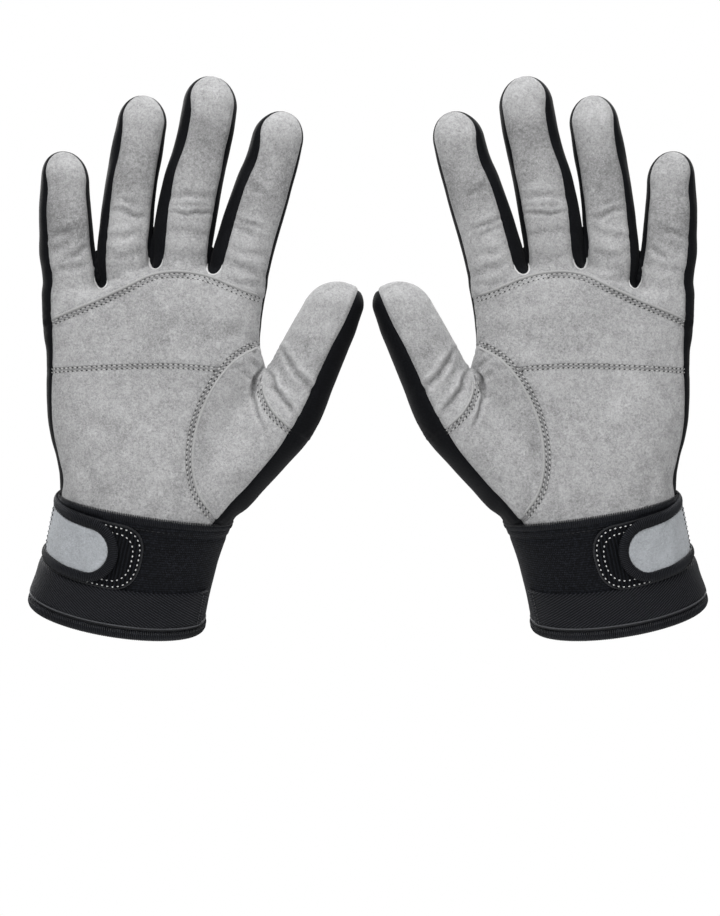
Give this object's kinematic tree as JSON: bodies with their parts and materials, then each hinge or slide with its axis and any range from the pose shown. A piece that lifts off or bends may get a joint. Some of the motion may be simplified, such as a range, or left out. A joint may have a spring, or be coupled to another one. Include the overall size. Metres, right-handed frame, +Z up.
{
  "type": "sailing gloves",
  "caption": "Long-finger sailing gloves with suede palm panels, stretch backs, bending fingers and thumbs, and a hook-and-loop strap on each neoprene cuff.",
  "frame": {"origin": "halfway between the two hand openings, in the middle plane of the pair, where the wearer's hands hold the gloves up", "axes": "+Z up along the fingers, palms facing -Y, +X from the right-hand glove to the left-hand glove"},
  "size_m": [0.2882, 0.0628, 0.2363],
  "materials": {
    "grey_suede": "matt grey synthetic suede with a short mottled nap",
    "black_stretch": "matt black stretch knit",
    "black_neoprene": "black foam sheet faced with smooth knit",
    "black_elastic": "black twill-woven elastic",
    "black_binding": "black ribbed edge binding",
    "black_loop": "black loop pile",
    "grey_strap_face": "matt light grey synthetic suede"
  },
  "bodies": {
    "hands": {"left_cuff_neoprene": "black_neoprene", "left_hand_back_stretch": "black_stretch", "left_hem_binding": "black_binding", "left_landing_patch_loop": "black_loop", "left_palm_heel_suede": "grey_suede", "left_palm_thumb_suede": "grey_suede", "left_palm_upper_suede": "grey_suede", "left_wrist_band_elastic": "black_elastic", "right_cuff_neoprene": "black_neoprene", "right_hand_back_stretch": "black_stretch", "right_hem_binding": "black_binding", "right_landing_patch_loop": "black_loop", "right_palm_heel_suede": "grey_suede", "right_palm_thumb_suede": "grey_suede", "right_palm_upper_suede": "grey_suede", "right_wrist_band_elastic": "black_elastic"},
    "right_index_base": {"right_index_base_suede": "grey_suede", "right_index_base_stretch": "black_stretch"},
    "right_index_tip": {"right_index_tip_suede": "grey_suede", "right_index_tip_stretch": "black_stretch"},
    "right_middle_base": {"right_middle_base_suede": "grey_suede", "right_middle_base_stretch": "black_stretch"},
    "right_middle_tip": {"right_middle_tip_suede": "grey_suede", "right_middle_tip_stretch": "black_stretch"},
    "right_ring_base": {"right_ring_base_suede": "grey_suede", "right_ring_base_stretch": "black_stretch"},
    "right_ring_tip": {"right_ring_tip_suede": "grey_suede", "right_ring_tip_stretch": "black_stretch"},
    "right_little_base": {"right_little_base_suede": "grey_suede", "right_little_base_stretch": "black_stretch"},
    "right_little_tip": {"right_little_tip_suede": "grey_suede", "right_little_tip_stretch": "black_stretch"},
    "right_thumb_base": {"right_thumb_base_suede": "grey_suede", "right_thumb_base_stretch": "black_stretch"},
    "right_thumb_tip": {"right_thumb_tip_suede": "grey_suede", "right_thumb_tip_stretch": "black_stretch"},
    "right_strap": {"right_strap_core": "black_binding", "right_strap_face": "grey_strap_face"},
    "left_index_base": {"left_index_base_suede": "grey_suede", "left_index_base_stretch": "black_stretch"},
    "left_index_tip": {"left_index_tip_suede": "grey_suede", "left_index_tip_stretch": "black_stretch"},
    "left_middle_base": {"left_middle_base_suede": "grey_suede", "left_middle_base_stretch": "black_stretch"},
    "left_middle_tip": {"left_middle_tip_suede": "grey_suede", "left_middle_tip_stretch": "black_stretch"},
    "left_ring_base": {"left_ring_base_suede": "grey_suede", "left_ring_base_stretch": "black_stretch"},
    "left_ring_tip": {"left_ring_tip_suede": "grey_suede", "left_ring_tip_stretch": "black_stretch"},
    "left_little_base": {"left_little_base_suede": "grey_suede", "left_little_base_stretch": "black_stretch"},
    "left_little_tip": {"left_little_tip_suede": "grey_suede", "left_little_tip_stretch": "black_stretch"},
    "left_thumb_base": {"left_thumb_base_suede": "grey_suede", "left_thumb_base_stretch": "black_stretch"},
    "left_thumb_tip": {"left_thumb_tip_suede": "grey_suede", "left_thumb_tip_stretch": "black_stretch"},
    "left_strap": {"left_strap_core": "black_binding", "left_strap_face": "grey_strap_face"}
  },
  "joints": [
    {"name": "right_index_base_bend", "type": "hinge", "parent": "hands", "child": "right_index_base", "pos_m": [-0.05214, -0.006, 0.15016], "axis": [0.9866, 0, -0.1633], "range_deg": [0, 75]},
    {"name": "right_index_middle_bend", "type": "hinge", "parent": "right_index_base", "child": "right_index_tip", "pos_m": [-0.04734, -0.006, 0.16761], "axis": [0.9866, 0, -0.1633], "range_deg": [0, 85]},
    {"name": "right_middle_base_bend", "type": "hinge", "parent": "hands", "child": "right_middle_base", "pos_m": [-0.07782, -0.006, 0.15441], "axis": [0.9866, 0, -0.1633], "range_deg": [0, 75]},
    {"name": "right_middle_middle_bend", "type": "hinge", "parent": "right_middle_base", "child": "right_middle_tip", "pos_m": [-0.07415, -0.006, 0.17408], "axis": [0.9866, 0, -0.1633], "range_deg": [0, 85]},
    {"name": "right_ring_base_bend", "type": "hinge", "parent": "hands", "child": "right_ring_base", "pos_m": [-0.10306, -0.006, 0.15454], "axis": [0.9866, 0, -0.1633], "range_deg": [0, 75]},
    {"name": "right_ring_middle_bend", "type": "hinge", "parent": "right_ring_base", "child": "right_ring_tip", "pos_m": [-0.10045, -0.006, 0.17235], "axis": [0.9866, 0, -0.1633], "range_deg": [0, 85]},
    {"name": "right_little_base_bend", "type": "hinge", "parent": "hands", "child": "right_little_base", "pos_m": [-0.12633, -0.006, 0.14623], "axis": [0.9866, 0, -0.1633], "range_deg": [0, 75]},
    {"name": "right_little_middle_bend", "type": "hinge", "parent": "right_little_base", "child": "right_little_tip", "pos_m": [-0.12651, -0.006, 0.16096], "axis": [0.9866, 0, -0.1633], "range_deg": [0, 85]},
    {"name": "right_thumb_base_bend", "type": "hinge", "parent": "hands", "child": "right_thumb_base", "pos_m": [-0.03892, -0.00473, 0.08896], "axis": [0.5334, -0.6157, -0.58], "range_deg": [0, 15]},
    {"name": "right_thumb_tip_bend", "type": "hinge", "parent": "right_thumb_base", "child": "right_thumb_tip", "pos_m": [-0.02976, -0.00473, 0.10627], "axis": [0.6089, -0.6157, -0.5002], "range_deg": [0, 25]},
    {"name": "right_strap_peel", "type": "hinge", "parent": "hands", "child": "right_strap", "pos_m": [-0.13802, 0.00665, 0.04074], "axis": [-0.1553, 0.309, -0.9383], "range_deg": [0, 110]},
    {"name": "left_index_base_bend", "type": "hinge", "parent": "hands", "child": "left_index_base", "pos_m": [0.05214, -0.006, 0.15016], "axis": [0.9866, 0, 0.1633], "range_deg": [0, 75]},
    {"name": "left_index_middle_bend", "type": "hinge", "parent": "left_index_base", "child": "left_index_tip", "pos_m": [0.04734, -0.006, 0.16761], "axis": [0.9866, 0, 0.1633], "range_deg": [0, 85]},
    {"name": "left_middle_base_bend", "type": "hinge", "parent": "hands", "child": "left_middle_base", "pos_m": [0.07782, -0.006, 0.15441], "axis": [0.9866, 0, 0.1633], "range_deg": [0, 75]},
    {"name": "left_middle_middle_bend", "type": "hinge", "parent": "left_middle_base", "child": "left_middle_tip", "pos_m": [0.07415, -0.006, 0.17408], "axis": [0.9866, 0, 0.1633], "range_deg": [0, 85]},
    {"name": "left_ring_base_bend", "type": "hinge", "parent": "hands", "child": "left_ring_base", "pos_m": [0.10306, -0.006, 0.15454], "axis": [0.9866, 0, 0.1633], "range_deg": [0, 75]},
    {"name": "left_ring_middle_bend", "type": "hinge", "parent": "left_ring_base", "child": "left_ring_tip", "pos_m": [0.10045, -0.006, 0.17235], "axis": [0.9866, 0, 0.1633], "range_deg": [0, 85]},
    {"name": "left_little_base_bend", "type": "hinge", "parent": "hands", "child": "left_little_base", "pos_m": [0.12633, -0.006, 0.14623], "axis": [0.9866, 0, 0.1633], "range_deg": [0, 75]},
    {"name": "left_little_middle_bend", "type": "hinge", "parent": "left_little_base", "child": "left_little_tip", "pos_m": [0.12651, -0.006, 0.16096], "axis": [0.9866, 0, 0.1633], "range_deg": [0, 85]},
    {"name": "left_thumb_base_bend", "type": "hinge", "parent": "hands", "child": "left_thumb_base", "pos_m": [0.03892, -0.00473, 0.08896], "axis": [0.5334, 0.6157, 0.58], "range_deg": [0, 15]},
    {"name": "left_thumb_tip_bend", "type": "hinge", "parent": "left_thumb_base", "child": "left_thumb_tip", "pos_m": [0.02976, -0.00473, 0.10627], "axis": [0.6089, 0.6157, 0.5002], "range_deg": [0, 25]},
    {"name": "left_strap_peel", "type": "hinge", "parent": "hands", "child": "left_strap", "pos_m": [0.13802, 0.00665, 0.04074], "axis": [-0.1553, -0.309, 0.9383], "range_deg": [0, 110]}
  ]
}
